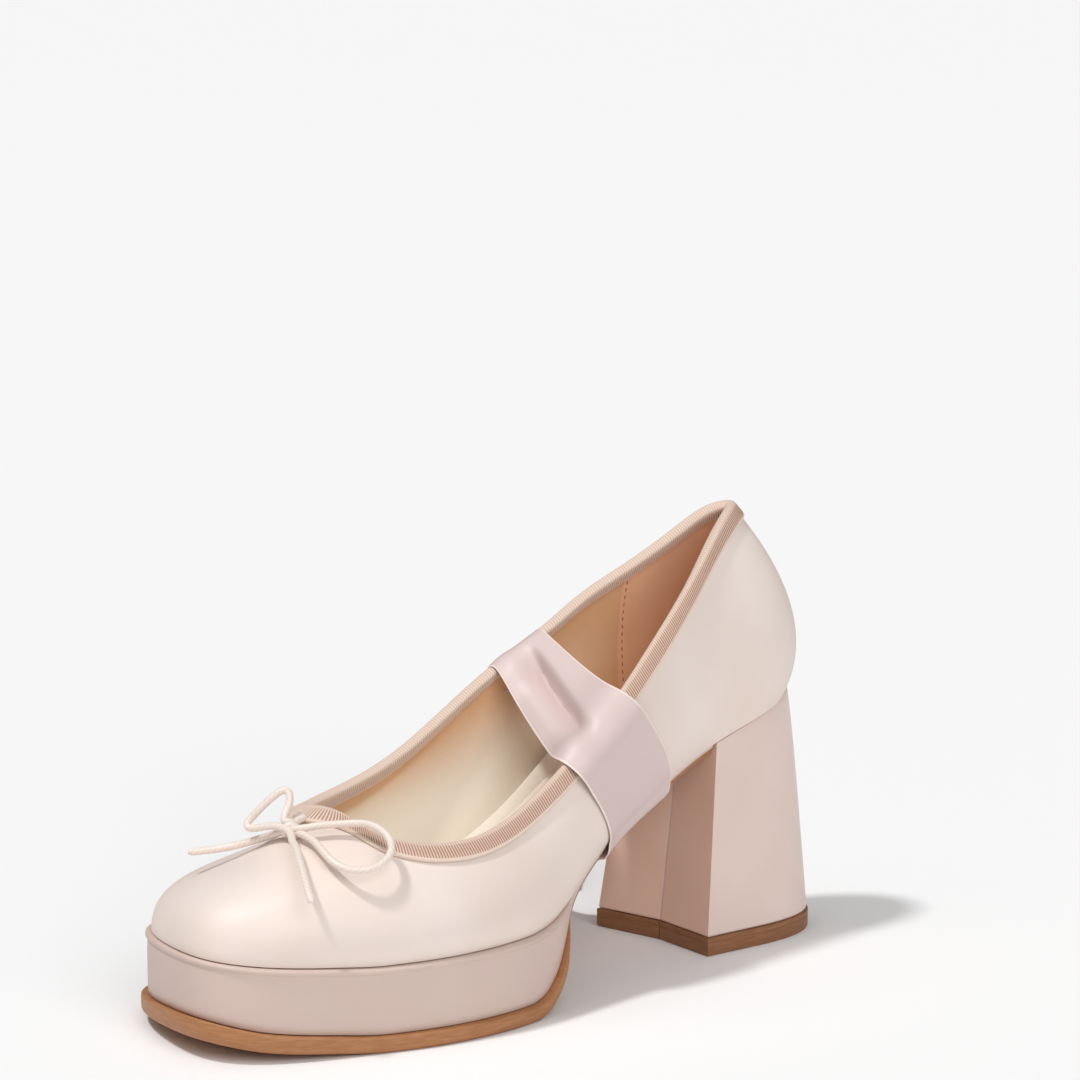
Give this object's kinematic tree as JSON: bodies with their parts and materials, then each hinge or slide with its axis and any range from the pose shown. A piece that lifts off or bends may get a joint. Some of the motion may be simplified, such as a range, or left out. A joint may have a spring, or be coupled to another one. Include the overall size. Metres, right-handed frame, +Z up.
{
  "type": "platform pump",
  "caption": "Left satin platform pump with a flared block heel, ribbed topline binding, cord bow and a wide ribbon strap whose free ends lie uncoiled beside it.",
  "frame": {"origin": "middle of the shoe's length and width at the ground, without the cords and the free ribbon ends", "axes": "+X from heel to toe, +Y to the wearer's left (lateral side), +Z up"},
  "size_m": [0.3084, 0.2421, 0.1349],
  "materials": {
    "outsole": "matte tan-brown sheet",
    "platform_satin": "blush satin",
    "heel_satin": "blush satin",
    "top_piece": "matte tan-brown",
    "upper_satin": "blush satin",
    "grosgrain": "ribbed tape",
    "sock": "cream lining leather",
    "ribbon": "double-faced satin ribbon",
    "cord": "covered elastic cord"
  },
  "bodies": {
    "root": {"outsole": "outsole", "platform": "platform_satin", "heel_block": "heel_satin", "heel_top_piece": "top_piece", "upper": "upper_satin", "topline_binding": "grosgrain", "insole": "sock", "ribbon_strap": "ribbon", "ribbon_end_upper": "ribbon", "ribbon_end_lower": "ribbon", "bow_knot": "cord", "bow_loop_lateral": "cord", "bow_loop_medial": "cord", "bow_tail_lateral": "cord", "bow_tail_medial": "cord"}
  },
  "joints": []
}
